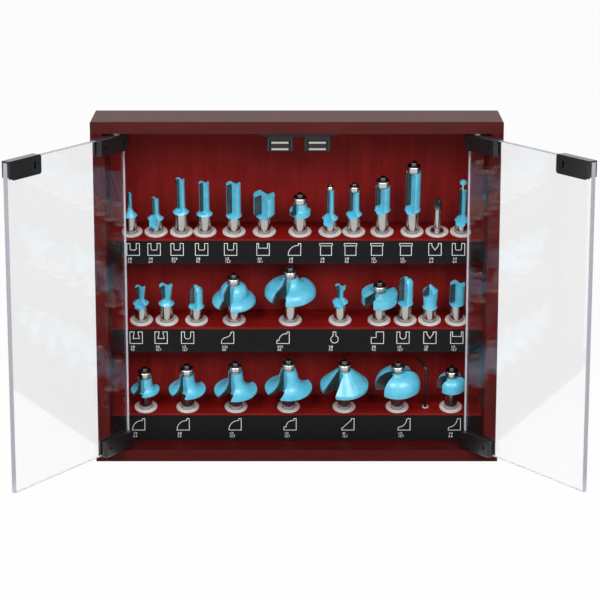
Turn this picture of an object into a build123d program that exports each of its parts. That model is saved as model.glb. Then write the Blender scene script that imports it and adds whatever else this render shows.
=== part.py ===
from build123d import *
import os
from math import atan2, cos, pi, radians, sin, sqrt

# Router bit display cabinet: a shallow wooden case with two inset glass doors, three sloped shelf
# blocks with label strips, thirty router bits standing in plastic bushings, and a hex key.
# Millimetres. X runs to the right, Y into the cabinet and Z up. The origin is the centre of the
# bottom face. The doors stand open.

INCH = 25.4

# ---------------------------------------------------------------- driving dimensions
# Case
CASE_WIDTH = 380.0
CASE_HEIGHT = 325.5
CASE_DEPTH = 67.5
PANEL = 11.0              # thickness of the top, bottom and sides
BACK_PANEL = 3.0
EDGE_BREAK = 0.8          # small bevel on outer wooden edges

# Shelf blocks: their depth against the back panel, and each block's top front edge
BLOCK_DEPTH = 31.5
LABEL_THICKNESS = 0.8
LABEL_END_GAP = 0.4
LABEL_EDGE_GAP = 1.4      # strip of wood that shows above each label
SLOPE = 19.0              # degrees that a block's top falls towards the front
UPPER, MIDDLE, LOWER = 0, 1, 2
EDGE_Z = (208.1, 122.2, 37.2)
FRONT_HEIGHT = (23.3, 23.5, 26.2)
HOLE_SETBACK = (14.6, 14.0, 12.4)     # along the slope, from the front edge to the hole's axis
ROW_HALF = 179.0          # half the inside width that the bits' places along X are given for

# Bits and their seats
SHANK = INCH / 2
SHANK_CLEARANCE = 0.05    # radial, shank to bushing
SEAT_DEPTH = 14.0         # how deep a shank goes below the shelf's surface
HOLE_CLEARANCE = 0.3      # radial, shank to wood
HOLE_SPARE = 0.8          # below the shank's end
FLANGE_GAP = 0.4          # between the two bushings that stand closest
FLANGE_HEIGHT = 1.0
ROUND_SIDES = 16          # round forms are many-sided, to keep the model light
RING_SIDES = 10
HOLE_SIDES = 8
SMALL_SHANK = INCH / 4
REDUCER_LIP = 2.0         # how far the reducer stands above the shelf
BLADE = 1.6               # carbide plate thickness
BLADE_PROUD = 0.3         # how far a blade stands out of the body
POINT = 0.4               # radius of the flat that ends a pointed tip
SCREW_HEAD = 0.46         # a bearing's screw head, as shares of the bearing's radius
SCREW_HEIGHT = 0.55
COLLAR_DROP = 0.6         # the underside of a body falls this much towards the shank

# Doors
GLASS = 4.8
DOOR_GAP = 2.2            # pane to the panels above and below it
PIVOT_INSET = 12.7        # pivot axis, from the side panel
PIVOT_SETBACK = 5.5       # pivot axis, behind the front plane
HINGE_EDGE = 10.2         # pivot axis to the pane's hinge edge
CENTRE_GAP = 1.6          # between the two closed panes
LEFT_OPEN = 121.4         # degrees from closed, as the doors stand
RIGHT_OPEN = 123.4

# Hinge brackets: U channels that clamp the pane's corners
BRACKET_START = -9.0      # along the pane, from the pivot axis
BRACKET_END = 34.0
BRACKET_HEIGHT = 15.5
BRACKET_OUTER = 1.7       # outer wall
BRACKET_INNER = 5.2       # inner block that holds the set screws
BRACKET_ROOF = 1.2
PIN_RADIUS = 2.0
PIN_LENGTH = 7.5
PIN_CLEARANCE = 0.05
SOCKET_WALL = 1.2
SOCKET_FLANGE = 4.2       # radius
SOCKET_GAP = 0.1          # bracket to flange
SOCKET_END = 0.5          # past the pin's end
SET_SCREW_RADIUS = 2.2
SET_SCREW_PROUD = 0.3
SET_SCREW_PLACES = (-1.0, 27.0)
HEX_SOCKET = 1.1          # radius of a set screw's socket
SOCKET_SINK = 1.8
BRACKET_BREAK = 0.6

# Strike clips on the free top corners
STRIKE_LENGTH = 45.5
STRIKE_HEIGHT = 17.5
STRIKE_OUTER = 1.0
STRIKE_INNER = 2.6
STRIKE_ROOF = 1.6
STRIKE_STEP = 2.8         # the end by the free edge is this much shorter
STRIKE_STEP_LENGTH = 6.0
STRIKE_SLOT = 3.0
STRIKE_SLOT_HEIGHT = 6.8
STRIKE_SLOT_PLACE = 9.0   # from the clip's inner end

# Double touch latch under the top panel
CATCH_X = 1.7
HEAD_SPACING = 34.6
HEAD_WIDTH = 24.5
HEAD_DEPTH = 22.0
HEAD_HEIGHT = 18.4
LATCH_CLEARANCE = 0.3     # closed strike to pole plates
POLE_PROUD = 1.2          # pole plates in front of the housing
PLUNGER_PROUD = 0.3       # plunger in front of the housing
PLUNGER_WIDTH = 17.4
PLUNGER_HEIGHT = 8.2
PLUNGER_LENGTH = 14.0
PLUNGER_TRAVEL = 3.0
PLUNGER_GAP = 0.3
HEAD_FLOOR = 1.2          # housing below the plunger
POLE_WIDTH = 15.9
POLE_THICKNESS = 1.8
POLE_PITCH = 6.1
POLE_LENGTH = 9.0
WING_SPAN = 80.0
WING_DEPTH = 14.0
WING_TIP = 2.0
WING_ROOT = 5.0
CATCH_SCREW = 1.5         # radius
CATCH_SCREW_HEAD = 2.9
CATCH_SCREW_LENGTH = 7.0
CATCH_SCREW_INSET = 5.0

# Hex key
KEY_X = 123.4
KEY_FLATS = 2.4
KEY_HEIGHT = 44.0         # above the shelf's surface
KEY_REACH = (-8.0, 15.5, 1.9)         # short arm, in the shelf's directions, clear of a lifted bit
KEY_BEND = 3.0
KEY_RING = 3.1            # outer radius
KEY_RING_HEIGHT = 0.8
KEY_CLEARANCE = 0.3

# ---------------------------------------------------------------- places worked out from them
FRONT = -CASE_DEPTH / 2
BACK = CASE_DEPTH / 2
INSIDE_X = CASE_WIDTH / 2 - PANEL
PIVOT_X = INSIDE_X - PIVOT_INSET
FREE_EDGE = PIVOT_X - CENTRE_GAP / 2  # pivot axis to the pane's free edge
FLOOR_Z = PANEL
CEILING_Z = CASE_HEIGHT - PANEL
PANE_BOTTOM = FLOOR_Z + DOOR_GAP
PANE_TOP = CEILING_Z - DOOR_GAP
LABEL_Y = BACK - BACK_PANEL - BLOCK_DEPTH
BLOCK_Y = LABEL_Y + LABEL_THICKNESS
BLOCK_BACK_Y = BACK - BACK_PANEL
RISE = (0, cos(radians(SLOPE)), sin(radians(SLOPE)))      # up a block's top
NORMAL = (0, -sin(radians(SLOPE)), cos(radians(SLOPE)))   # out of a block's top
SHANK_R = SHANK / 2
BORE_R = SHANK_R + SHANK_CLEARANCE
KEY_HOLE_R = KEY_FLATS / 2 / cos(radians(30)) + KEY_CLEARANCE
PIVOT_Y = FRONT + PIVOT_SETBACK
BRACKET_TOP = PANE_TOP + BRACKET_ROOF
SOCKET_R = PIN_RADIUS + PIN_CLEARANCE + SOCKET_WALL
SOCKET_DEPTH = PIN_LENGTH + SOCKET_END
CATCH_FRONT = PIVOT_Y + GLASS / 2 + STRIKE_INNER + LATCH_CLEARANCE + POLE_PROUD
CATCH_SCREW_Y = CATCH_FRONT + 1.0 + WING_DEPTH / 2
CATCH_SCREW_X = [CATCH_X + side * (WING_SPAN / 2 - CATCH_SCREW_INSET) for side in (-1, 1)]
PLUNGER_Z = CEILING_Z - HEAD_HEIGHT + HEAD_FLOOR + PLUNGER_HEIGHT / 2
SHELF_NAMES = ("upper", "middle", "lower")


def write(name, *solids):
    """Write one node, as one solid or a group of separate solids."""
    shape = solids[0] if len(solids) == 1 else Compound(children=list(solids))
    export_step(shape, f"parts/{name}.step")


def block(low, high):
    """Axis-aligned box between two corners."""
    size = [b - a for a, b in zip(low, high)]
    return Pos(*low) * Box(*size, align=(Align.MIN, Align.MIN, Align.MIN))


def prism(radius, start, end, sides=RING_SIDES):
    """Upright many-sided rod inside a circle of this radius."""
    return Pos(0, 0, start) * extrude(RegularPolygon(radius, sides), end - start)


def rod(radius, start, end):
    """Upright round rod, for what turns."""
    return Pos(0, 0, start) * Cylinder(radius, end - start, align=(Align.CENTER, Align.CENTER, Align.MIN))


def tube(outer, inner, start, end):
    """Upright ring with a few flat sides, whose bore touches a circle of the inner radius."""
    ring = RegularPolygon(outer, RING_SIDES) - RegularPolygon(inner, RING_SIDES, major_radius=False)
    return Pos(0, 0, start) * extrude(ring, end - start)


def seat(row, x):
    """Frame of a hole: origin on the block's surface, Z out of the block, Y up the slope."""
    along = HOLE_SETBACK[row]
    place = (x * INSIDE_X / ROW_HALF, LABEL_Y + along * RISE[1], EDGE_Z[row] + along * RISE[2])
    return Plane(origin=place, x_dir=(1, 0, 0), z_dir=NORMAL)


# ---------------------------------------------------------------- router bits
# An outline is a list of (radius, height) above the shelf, from the coating's lower end to the tip.
# Round stretches are short chords of an arc, to keep the model light.

def arc(start, end, radius, steps=3):
    """Points after start along an arc to end. A positive radius bulges away from the bit's axis."""
    a, b = Vector(*start), Vector(*end)
    middle, chord = (a + b) / 2, b - a
    across = Vector(chord.Y, -chord.X).normalized()
    rise = sqrt(max(radius ** 2 - (chord.length / 2) ** 2, 0))
    centre = middle - across * rise * (1 if radius > 0 else -1)
    first, last = (atan2(p.Y - centre.Y, p.X - centre.X) for p in (a, b))
    turn = (last - first + pi) % (2 * pi) - pi
    angles = [first + turn * i / steps for i in range(1, steps)]
    return [(centre.X + abs(radius) * cos(angle), centre.Y + abs(radius) * sin(angle)) for angle in angles] + [end]


def straight(cutter, tip, flare, cutter_start, collar=15.0):
    """Straight body that flares out to a collar where the coating ends."""
    return [(collar / 2, flare + 0.6), (cutter / 2, cutter_start), (cutter / 2, tip)]


def dovetail(cutter, waist, tip, flare):
    """Undercut head on a narrow waist."""
    return [(7.5, flare + 0.6), (waist / 2, flare + 5.0), (cutter / 2, tip - 1.0), (cutter / 2, tip)]


def round_over(width, radius, neck, top, rim_low, rim=2.2):
    """Flaring body whose upper side is a concave quarter round."""
    edge, shoulder = width / 2, rim_low + rim
    hollow = arc((edge, shoulder), (edge - radius, shoulder + radius), -radius)
    return [(edge - 1.6, rim_low), (edge, rim_low + 1.0), (edge, shoulder), *hollow, (neck, top)]


def cove(width, radius, neck, top, rim_low):
    """Dome whose upper side is a convex quarter round above a straight rim."""
    edge = width / 2
    return [(edge - 1.5, rim_low), (edge, rim_low + 1.5), (edge, top - radius),
            *arc((edge, top - radius), (neck, top), radius)]


class Bearing:
    """Guide bearing on the tip: outer diameter, its height and the height of the collar under it."""

    def __init__(self, width, height, collar):
        self.width, self.height, self.collar = width, height, collar


LARGE_BEARING = Bearing(INCH / 2, 4.0, 3.2)
MEDIUM_BEARING = Bearing(INCH / 2, 5.2, 1.2)
NARROW_BEARING = Bearing(INCH * 3 / 8, 4.2, 1.0)
SMALL_BEARING = Bearing(INCH / 4, 3.2, 0.8)


class Bit:
    """One router bit.

    row and x place its hole; face is the direction that a blade's face lies in, seen from the tip
    (270 is the front); core is the distance from the axis to a gullet's floor; flute and blade are
    the heights where the gullets and the blades end; opening is a gullet's width at its floor and
    at the rim, and without it the gullet takes the whole quarter.
    """

    def __init__(self, row, x, outline, face, core, flute, blade, opening=None, bearing=None, shank=SHANK):
        self.row, self.x, self.outline, self.face = row, x, outline, face
        self.core, self.flute, self.blade, self.opening = core, flute, blade, opening
        self.bearing, self.shank = bearing, shank


# Steel neck and guide on the tip of the panel pilot bit
PILOT = ((1.6, 45.5), (1.6, 51.8), (3.3, 52.5), (3.3, 54.6), (1.8, 55.8))
BITS = {
    "straight_1_8": Bit(UPPER, -156.9, straight(3.4, 42.6, 17.9, 26.0, 12.8), 230, 0.5, 15.5, 30.0),
    "straight_1_4": Bit(UPPER, -133.2, straight(6.4, 36.5, 14.5, 19.5), 215, 0.9, 6.0, 19.5),
    "straight_5_16": Bit(UPPER, -109.1, straight(7.9, 57.3, 21.4, 27.0), 220, 1.1, 17.0, 27.0),
    "straight_3_8": Bit(UPPER, -86.9, straight(9.6, 53.5, 19.4, 23.0), 235, 1.4, 17.0, 24.0),
    "straight_1_2": Bit(UPPER, -59.4, straight(13.4, 52.0, 17.5, 20.5), 225, 2.0, 15.5, 22.0),
    "straight_3_4": Bit(UPPER, -30.7, [(7.0, 17.0), (10.0, 21.0), (10.0, 40.3)], 220, 3.0, 17.5, 21.0),
    "rounding_1_8": Bit(UPPER, 3.0, round_over(19.6, 3.2, 6.0, 31.8, 18.5, 5.5), 215, 4.2, 17.0, 20.0,
                        (4.0, 7.0), MEDIUM_BEARING),
    "flush_trim_1_4": Bit(UPPER, 31.4, straight(6.6, 45.7, 14.8, 20.5), 210, 0.9, 9.0, 21.0,
                          bearing=SMALL_BEARING),
    "flush_trim_3_8": Bit(UPPER, 53.9, straight(9.5, 44.8, 19.0, 24.0), 215, 1.4, 17.0, 24.0,
                          bearing=NARROW_BEARING),
    "flush_trim_1_2": Bit(UPPER, 80.6, straight(13.6, 49.8, 23.5, 30.6), 215, 2.4, 21.5, 30.6,
                          bearing=MEDIUM_BEARING),
    "flush_trim_1_2_long": Bit(UPPER, 109.0, straight(13.6, 65.6, 23.5, 30.6), 215, 2.4, 21.5, 30.6,
                               bearing=MEDIUM_BEARING),
    "veining": Bit(UPPER, 132.6, [(4.0, 26.0), (3.4, 28.2), (3.4, 33.0), (1.2, 36.2)],
                   215, 0.6, 28.2, 28.8, shank=SMALL_SHANK),
    "panel_pilot_1_4": Bit(UPPER, 155.8, straight(6.6, 46.0, 12.5, 19.0, 13.6), 215, 0.9, 9.0, 19.0),
    "dovetail_3_8": Bit(MIDDLE, -148.2, dovetail(9.6, 6.4, 37.6, 19.2), 225, 1.0, 15.0, 25.0),
    "dovetail_1_2": Bit(MIDDLE, -123.9, dovetail(12.4, 7.8, 39.3, 18.8), 230, 1.3, 22.0, 26.0),
    "core_box": Bit(MIDDLE, -95.6, [(7.4, 15.9), (6.1, 18.5), (6.1, 33.0), *arc((6.1, 33.0), (0, 39.1), 6.1)],
                    205, 1.6, 16.0, 20.0),
    "roman_ogee": Bit(MIDDLE, -59.7, [(19.6, 20.4), (20.8, 21.8), (20.8, 23.0), *arc((20.8, 23.0), (13.2, 28.5), 9.0),
                                      (13.2, 31.2), *arc((13.2, 31.2), (7.0, 41.0), 10.0)],
                      233, 5.5, 19.0, 21.0, (5.5, 11.5), LARGE_BEARING),
    "classical_ogee": Bit(MIDDLE, -6.2, [(22.8, 29.0), (24.3, 30.5), (24.3, 33.5), *arc((24.3, 33.5), (15.5, 40.5), 10.0),
                                         *arc((15.5, 40.5), (7.0, 48.6), -12.0)],
                          231, 5.5, 25.5, 30.0, (5.5, 13.5), LARGE_BEARING),
    "keyhole": Bit(MIDDLE, 41.2, [(7.5, 21.1), (3.0, 26.0), (3.0, 35.0), (5.0, 35.5), (5.0, 38.7)],
                   215, 0.8, 16.5, 26.0),
    "rabbeting": Bit(MIDDLE, 78.4, [(16.0, 21.0), (17.0, 22.0), (17.0, 31.0), (7.5, 32.4)],
                     221, 5.5, 19.5, 21.5, (5.0, 9.0), LARGE_BEARING),
    "round_nose": Bit(MIDDLE, 103.3, [(7.2, 19.4), (6.7, 22.0), (6.7, 41.3), *arc((6.7, 41.3), (0, 48.0), 6.7)],
                      205, 1.7, 19.0, 23.0),
    "v_groove": Bit(MIDDLE, 126.6, [(7.1, 15.2), (6.0, 18.0), (7.0, 29.0), (7.0, 33.6), (0, 40.6)],
                    215, 1.6, 26.0, 29.0),
    "mortising": Bit(MIDDLE, 152.1, straight(14.0, 41.2, 18.7, 21.0, 14.6), 215, 2.4, 18.0, 22.0),
    "rounding_1_4": Bit(LOWER, -145.1, round_over(27.0, 6.6, 6.4, 34.5, 18.7), 224, 5.0, 17.5, 19.5,
                        (5.5, 9.0), LARGE_BEARING),
    "rounding_3_8": Bit(LOWER, -104.9, round_over(35.2, 10.4, 6.4, 38.0, 19.1), 228, 5.5, 18.0, 20.0,
                        (6.0, 13.0), LARGE_BEARING),
    "rounding_1_2": Bit(LOWER, -58.5, round_over(41.0, 13.5, 6.6, 41.0, 18.6), 222, 5.5, 17.5, 19.5,
                        (6.0, 15.0), LARGE_BEARING),
    "beading_1_2": Bit(LOWER, -8.0, round_over(45.0, 13.5, 6.8, 43.8, 21.0), 218, 5.5, 20.0, 22.0,
                       (6.0, 14.0), LARGE_BEARING),
    "chamfer_45": Bit(LOWER, 45.4, [(21.8, 22.5), (23.0, 23.7), (23.0, 27.0), (7.0, 43.0)],
                      216, 5.5, 21.0, 23.5, (6.0, 14.5), LARGE_BEARING),
    "cove_1_2": Bit(LOWER, 96.4, cove(43.2, 14.2, 7.4, 41.0, 22.2), 195, 5.5, 21.0, 23.5,
                    (6.0, 16.0), LARGE_BEARING),
    "cove_1_4": Bit(LOWER, 147.9, cove(27.0, 6.6, 6.9, 35.4, 21.6), 185, 5.0, 20.5, 23.0,
                    (6.0, 11.0), LARGE_BEARING),
}


def half_section(points, shift=0.0):
    """Face between the axis and an outline, as (radius, height) in XY. shift moves the rim outwards."""
    rim = [(radius + shift if radius > 0 else 0, height) for radius, height in points]
    tip = [] if rim[-1][0] == 0 else [(0, rim[-1][1])]
    return make_face(Polyline(*rim, *tip, (0, rim[0][1]), close=True))


def turned(points, sides=ROUND_SIDES):
    """Turned solid about the local Z axis, many-sided, through the outline's points."""
    angles = [2 * pi * i / sides for i in range(sides)]
    rings = []
    for radius, height in points:
        reach = max(radius, POINT)
        rings.append([(reach * cos(angle), reach * sin(angle), height) for angle in angles])
    faces = [make_face(Polyline(*ring, close=True)) for ring in (rings[0], rings[-1])]
    for low, high in zip(rings, rings[1:]):
        for i in range(sides):
            faces.append(make_face(Polyline(low[i - 1], low[i], high[i], high[i - 1], close=True)))
    return Solid(Shell(faces))


def bearing_stack(bearing, top):
    """Bearing on its collar, in one turned solid, and the screw head that holds them."""
    radius = bearing.width / 2
    cap = top + bearing.collar + bearing.height
    ring = turned([(radius - 0.4, top), (radius - 0.4, top + bearing.collar - 0.2), (radius, top + bearing.collar),
                   (radius, cap)], RING_SIDES)
    return [ring, prism(radius * SCREW_HEAD, cap, cap + radius * SCREW_HEIGHT, 6)]


def router_bit(bit):
    """Solids of one bit on a local Z axis whose zero is the shelf's surface."""
    shank = bit.shank / 2
    top = bit.outline[-1][1]
    rim = max(point[0] for point in bit.outline) + BLADE_PROUD + 1.0
    coat = bit.outline[0][1] - COLLAR_DROP
    body = turned([(shank, -SEAT_DEPTH), (shank, coat), *bit.outline])
    inner, outer = bit.opening or (rim, rim)
    gullet_base = make_face(Polyline((bit.core, -BLADE), (rim, -BLADE), (rim, outer), (bit.core, inner), close=True))
    gullet = Pos(0, 0, bit.flute) * extrude(gullet_base, top + 1.0 - bit.flute)
    window = Pos(bit.core, bit.blade) * Rectangle(rim, top - bit.blade, align=(Align.MIN, Align.MIN))
    blade = extrude(Plane.XZ * (half_section(bit.outline, BLADE_PROUD) & window), BLADE)
    half_turn = Rot(0, 0, 180)
    solids = [body - gullet - half_turn * gullet, blade, half_turn * blade]
    if bit.bearing:
        solids += bearing_stack(bit.bearing, top)
    if bit is BITS["panel_pilot_1_4"]:
        solids.append(turned([(radius, height) for radius, height in PILOT], RING_SIDES))
    place = seat(bit.row, bit.x).location * Rot(0, 0, bit.face)
    return [place * solid for solid in solids]


# ---------------------------------------------------------------- case and shelves
def case_panels():
    half = CASE_WIDTH / 2
    top = block((-half, FRONT, CEILING_Z), (half, BACK, CASE_HEIGHT))
    bottom = block((-half, FRONT, 0), (half, BACK, FLOOR_Z))
    top = chamfer(top.edges().group_by(Axis.Z)[-1], EDGE_BREAK)
    bottom = chamfer(bottom.edges().group_by(Axis.Y)[0].filter_by(Axis.X), EDGE_BREAK)
    for x in (-PIVOT_X, PIVOT_X):
        top -= Pos(x, PIVOT_Y) * prism(SOCKET_R, CEILING_Z, CEILING_Z + SOCKET_DEPTH)
        bottom -= Pos(x, PIVOT_Y) * prism(SOCKET_R, FLOOR_Z - SOCKET_DEPTH, FLOOR_Z)
    for x in CATCH_SCREW_X:
        top -= Pos(x, CATCH_SCREW_Y) * prism(CATCH_SCREW, CEILING_Z, CEILING_Z + CATCH_SCREW_LENGTH, 6)
    write("top_panel", top)
    write("bottom_panel", bottom)
    for name, low, high in (("left_side", -half, -INSIDE_X), ("right_side", INSIDE_X, half)):
        write(name, block((low, FRONT, FLOOR_Z), (high, BACK, CEILING_Z)))
    write("back_panel", block((-INSIDE_X, BLOCK_BACK_Y, FLOOR_Z), (INSIDE_X, BACK, CEILING_Z)))


def hole(radius):
    """Cutter for a blind hole in a shelf block, with flat sides that clear a circle of this radius."""
    depth = SEAT_DEPTH + HOLE_SPARE
    return Pos(0, 0, -depth) * extrude(RegularPolygon(radius, HOLE_SIDES, major_radius=False), 2 * depth)


def shelves():
    """Shelf blocks with their holes, the label strips, and every bushing."""
    bushings = []
    places = [sorted(bit.x for bit in BITS.values() if bit.row == row) for row in range(len(SHELF_NAMES))]
    closest = min(b - a for row in places for a, b in zip(row, row[1:])) * INSIDE_X / ROW_HALF
    flange = (closest - FLANGE_GAP) / 2
    for row, name in enumerate(SHELF_NAMES):
        edge, bottom = EDGE_Z[row], EDGE_Z[row] - FRONT_HEIGHT[row]
        back_edge = edge + (BLOCK_BACK_Y - BLOCK_Y) * RISE[2] / RISE[1]
        side = make_face(Polyline((BLOCK_Y, bottom), (BLOCK_BACK_Y, bottom), (BLOCK_BACK_Y, back_edge),
                                  (BLOCK_Y, edge), close=True))
        shelf = Pos(-INSIDE_X) * extrude(Plane.YZ * side, 2 * INSIDE_X)
        front_edge = shelf.edges().filter_by(Axis.X).group_by(Axis.Y)[0].sort_by(Axis.Z)[-1]
        shelf = chamfer(front_edge, EDGE_BREAK)
        for bit in BITS.values():
            if bit.row == row:
                place = seat(row, bit.x).location
                shelf -= place * hole(SHANK_R + HOLE_CLEARANCE)
                bushings.append(place * tube(flange, BORE_R, 0, FLANGE_HEIGHT))
                if bit.shank < SHANK:
                    write("reducer", place * tube(SHANK_R, bit.shank / 2 + SHANK_CLEARANCE, -SEAT_DEPTH, REDUCER_LIP))
        if row == LOWER:
            place = seat(row, KEY_X).location
            shelf -= place * hole(KEY_HOLE_R)
            write("key_ring", place * tube(KEY_RING, KEY_HOLE_R, 0, KEY_RING_HEIGHT))
        write(f"{name}_shelf", shelf)
        low = (-INSIDE_X + LABEL_END_GAP, LABEL_Y, bottom + LABEL_END_GAP)
        high = (INSIDE_X - LABEL_END_GAP, BLOCK_Y, edge - LABEL_EDGE_GAP)
        write(f"{name}_label", block(low, high))
    write("shank_bushings", *bushings)


def hex_key():
    """L key whose long arm stands in the lower block."""
    reach = Vector(*KEY_REACH)
    bend_start = (0, 0, KEY_HEIGHT)
    tip = Vector(*bend_start) + reach
    path = FilletPolyline((0, 0, -SEAT_DEPTH), bend_start, tip, radius=KEY_BEND)
    section = Plane(origin=(0, 0, -SEAT_DEPTH), z_dir=(0, 0, 1)) * RegularPolygon(KEY_FLATS / 2, 6, major_radius=False)
    return seat(LOWER, KEY_X).location * sweep(section, path=path)


# ---------------------------------------------------------------- touch latch
def touch_latch():
    ceiling = CEILING_Z
    root = HEAD_SPACING / 2 + HEAD_WIDTH / 2
    tip = WING_SPAN / 2
    wing = make_face(Polyline((-tip, ceiling), (tip, ceiling), (tip, ceiling - WING_TIP),
                              (root, ceiling - WING_ROOT), (-root, ceiling - WING_ROOT),
                              (-tip, ceiling - WING_TIP), close=True))
    housing = Pos(CATCH_X, CATCH_FRONT + 1.0) * extrude(Plane.XZ * wing, -WING_DEPTH)
    cavity_length = PLUNGER_LENGTH + PLUNGER_TRAVEL + PLUNGER_GAP
    for name, side in (("left", -1), ("right", 1)):
        x = CATCH_X + side * HEAD_SPACING / 2
        head = block((x - HEAD_WIDTH / 2, CATCH_FRONT, ceiling - HEAD_HEIGHT),
                     (x + HEAD_WIDTH / 2, CATCH_FRONT + HEAD_DEPTH, ceiling))
        head = chamfer(head.edges().group_by(Axis.Y)[0], EDGE_BREAK / 2)
        half = Vector(PLUNGER_WIDTH / 2 + PLUNGER_GAP, 0, PLUNGER_HEIGHT / 2 + PLUNGER_GAP)
        cavity = block((x - half.X, CATCH_FRONT - 1, PLUNGER_Z - half.Z),
                       (x + half.X, CATCH_FRONT + cavity_length, PLUNGER_Z + half.Z))
        housing = housing + head - cavity
        write(f"{name}_plunger", *plunger(x))
    for x in CATCH_SCREW_X:
        housing -= Pos(x, CATCH_SCREW_Y) * prism(CATCH_SCREW, ceiling - 2 * WING_ROOT, ceiling, 6)
        housing -= Pos(x, CATCH_SCREW_Y) * prism(CATCH_SCREW_HEAD, ceiling - 2 * WING_ROOT, ceiling - WING_TIP)
    write("catch_housing", housing)
    screws = []
    for x in CATCH_SCREW_X:
        head = prism(CATCH_SCREW_HEAD, ceiling - WING_TIP - 1.2, ceiling - WING_TIP)
        screw = head + prism(CATCH_SCREW, ceiling - WING_TIP, ceiling + CATCH_SCREW_LENGTH, 6)
        slot = Pos(0, 0, ceiling - WING_TIP - 1.2) * Box(2 * CATCH_SCREW_HEAD, 0.8, 1.0)
        screws.append(Pos(x, CATCH_SCREW_Y) * (screw - slot))
    write("catch_screws", *screws)


def plunger(x):
    """Sprung magnet holder with two steel pole plates let into its front."""
    front = CATCH_FRONT - PLUNGER_PROUD
    half_height = PLUNGER_HEIGHT / 2
    holder = block((x - PLUNGER_WIDTH / 2, front, PLUNGER_Z - half_height),
                   (x + PLUNGER_WIDTH / 2, CATCH_FRONT + PLUNGER_LENGTH, PLUNGER_Z + half_height))
    plates = []
    for z in (PLUNGER_Z - POLE_PITCH / 2, PLUNGER_Z + POLE_PITCH / 2):
        low = (x - POLE_WIDTH / 2, CATCH_FRONT - POLE_PROUD, z - POLE_THICKNESS / 2)
        high = (x + POLE_WIDTH / 2, CATCH_FRONT + POLE_LENGTH, z + POLE_THICKNESS / 2)
        plates.append(block(low, high))
        holder -= plates[-1]
    return [holder, *plates]


# ---------------------------------------------------------------- doors
# A door is built closed, in its own frame: X along the pane from the pivot axis, Y inwards and Z up
# from the cabinet's bottom. The right door is the mirror image of the left one.

def bracket(flip):
    """Clamp bracket for the pane's top corner, or for its bottom corner when flip is set."""
    half = GLASS / 2
    shell = block((BRACKET_START, -half - BRACKET_OUTER, BRACKET_TOP - BRACKET_HEIGHT),
                  (BRACKET_END, half + BRACKET_INNER, BRACKET_TOP))
    shell = chamfer(shell.edges().filter_by(Axis.Z) + shell.edges().group_by(Axis.Z)[-1], BRACKET_BREAK)
    shell -= block((-HINGE_EDGE, -half, 0), (FREE_EDGE, half, PANE_TOP))
    screws = []
    for place in SET_SCREW_PLACES:
        outwards = Plane(origin=(place, half, BRACKET_TOP - BRACKET_HEIGHT / 2), z_dir=(0, 1, 0)).location
        length = BRACKET_INNER + SET_SCREW_PROUD
        screw = extrude(RegularPolygon(SET_SCREW_RADIUS, HOLE_SIDES), length)
        socket = Pos(0, 0, length - SOCKET_SINK) * extrude(RegularPolygon(HEX_SOCKET, 6), length)
        shell -= outwards * screw
        screws.append(outwards * (screw - socket))
    shell += rod(PIN_RADIUS, BRACKET_TOP - BRACKET_ROOF / 2, BRACKET_TOP + PIN_LENGTH)
    if flip:
        middle = Plane.XY.offset((PANE_TOP + PANE_BOTTOM) / 2)
        shell, *screws = [mirror(solid, about=middle) for solid in (shell, *screws)]
    return shell, screws


def strike():
    """Thin clip over the pane's free top corner, which the latch pulls on."""
    half = GLASS / 2
    low, top = PANE_TOP + STRIKE_ROOF - STRIKE_HEIGHT, PANE_TOP + STRIKE_ROOF
    start = FREE_EDGE - STRIKE_LENGTH
    clip = block((start, -half - STRIKE_OUTER, low), (FREE_EDGE, half + STRIKE_INNER, top))
    clip -= block((FREE_EDGE - STRIKE_STEP_LENGTH, -GLASS * 2, low - 1), (FREE_EDGE + 1, GLASS * 2, low + STRIKE_STEP))
    clip = chamfer(clip.edges().group_by(Axis.X)[0].filter_by(Axis.Y), 2 * EDGE_BREAK)
    clip -= block((start - 1, -half, low - 1), (FREE_EDGE + 1, half, PANE_TOP))
    slot_x = start + STRIKE_SLOT_PLACE
    slot_z = (low + top - STRIKE_SLOT_HEIGHT) / 2
    clip -= block((slot_x - STRIKE_SLOT / 2, half - 1, slot_z),
                  (slot_x + STRIKE_SLOT / 2, half + STRIKE_INNER + 1, slot_z + STRIKE_SLOT_HEIGHT))
    return clip


def pane():
    glass = block((-HINGE_EDGE, -GLASS / 2, PANE_BOTTOM), (FREE_EDGE, GLASS / 2, PANE_TOP))
    return chamfer(glass.edges().filter_by(Axis.Y, reverse=True), 0.4)


def doors():
    top_bracket, top_screws = bracket(False)
    bottom_bracket, bottom_screws = bracket(True)
    nodes = {"pane": [pane()], "top_hinge": [top_bracket], "bottom_hinge": [bottom_bracket],
             "set_screws": top_screws + bottom_screws, "strike": [strike()]}
    for name, opening in (("left", LEFT_OPEN), ("right", RIGHT_OPEN)):
        place = Pos(-PIVOT_X, PIVOT_Y) * Rot(0, 0, -opening)
        for node, solids in nodes.items():
            placed = [place * solid for solid in solids]
            if name == "right":
                placed = [mirror(solid, about=Plane.YZ) for solid in placed]
            write(f"{name}_{node}", *placed)


def pivot_bushings():
    """Flanged bushings in the top and bottom panels that the door pins turn in."""
    flange = CEILING_Z - BRACKET_TOP - SOCKET_GAP
    top = prism(SOCKET_FLANGE, CEILING_Z - flange, CEILING_Z) + prism(SOCKET_R, CEILING_Z, CEILING_Z + SOCKET_DEPTH)
    top -= rod(PIN_RADIUS + PIN_CLEARANCE, CEILING_Z - 2 * flange, BRACKET_TOP + PIN_LENGTH + SOCKET_END)
    bottom = mirror(top, about=Plane.XY.offset((PANE_TOP + PANE_BOTTOM) / 2))
    write("pivot_bushings", *[Pos(x, PIVOT_Y) * solid for x in (-PIVOT_X, PIVOT_X) for solid in (top, bottom)])


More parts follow.
